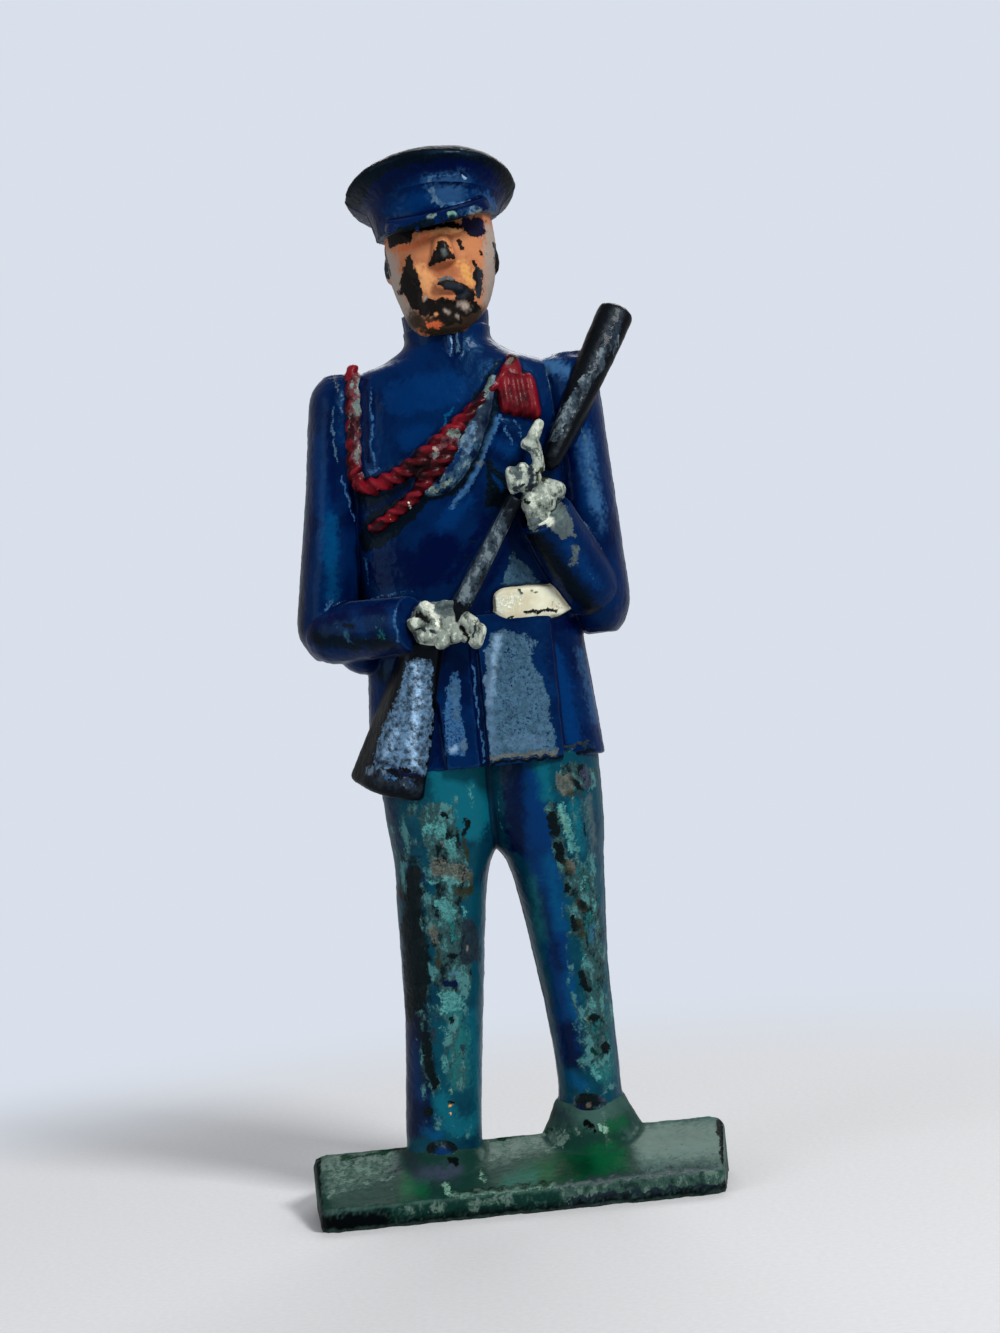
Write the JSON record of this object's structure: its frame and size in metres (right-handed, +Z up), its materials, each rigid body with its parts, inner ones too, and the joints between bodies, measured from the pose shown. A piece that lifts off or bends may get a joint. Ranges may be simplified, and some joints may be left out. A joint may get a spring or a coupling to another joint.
{
  "type": "toy soldier figure",
  "caption": "Cast toy soldier in a peaked cap and belted tunic, standing on an oblong base and holding a rifle across the body.",
  "frame": {"origin": "centre of the base's underside", "axes": "+Z up through the figure, -Y the way it faces, +X towards its own left hand"},
  "size_m": [0.0298, 0.015, 0.0749],
  "materials": {
    "base_paint": "dusty dark green enamel, chipped to bare metal at the edges",
    "shoe_paint": "black enamel, worn",
    "trouser_paint": "teal enamel, speckled with wear",
    "tunic_paint": "deep navy gloss enamel",
    "belt_paint": "cream-white enamel, chipped along its lower edge",
    "face_paint": "flesh enamel, chipped to dark metal",
    "cap_paint": "deep navy gloss enamel, worn to metal along the top edge",
    "glove_paint": "grey-white enamel with dark recesses",
    "rifle_paint": "black enamel rubbed to grey metal on its ridges",
    "cord_paint": "red enamel, worn to silver-grey",
    "plait_paint": "silver-grey enamel with red traces"
  },
  "bodies": {
    "root": {"base_plate": "base_paint", "right_shoe": "shoe_paint", "left_shoe": "shoe_paint", "right_trouser_leg": "trouser_paint", "left_trouser_leg": "trouser_paint", "tunic_skirt": "tunic_paint", "left_skirt_panel": "tunic_paint", "right_skirt_panel": "tunic_paint", "belt": "belt_paint", "tunic_chest": "tunic_paint", "collar": "tunic_paint", "head": "face_paint", "cap_band": "cap_paint", "cap_crown": "cap_paint", "cap_peak": "cap_paint", "right_upper_sleeve": "tunic_paint", "left_upper_sleeve": "tunic_paint", "right_forearm": "tunic_paint", "left_forearm": "tunic_paint", "right_glove": "glove_paint", "left_glove": "glove_paint", "rifle_butt": "rifle_paint", "rifle_grip": "rifle_paint", "rifle_barrel": "rifle_paint", "shoulder_cord": "cord_paint", "chest_cord": "cord_paint", "lower_cord": "cord_paint", "flat_plait": "plait_paint", "shoulder_knot": "cord_paint"}
  },
  "joints": []
}
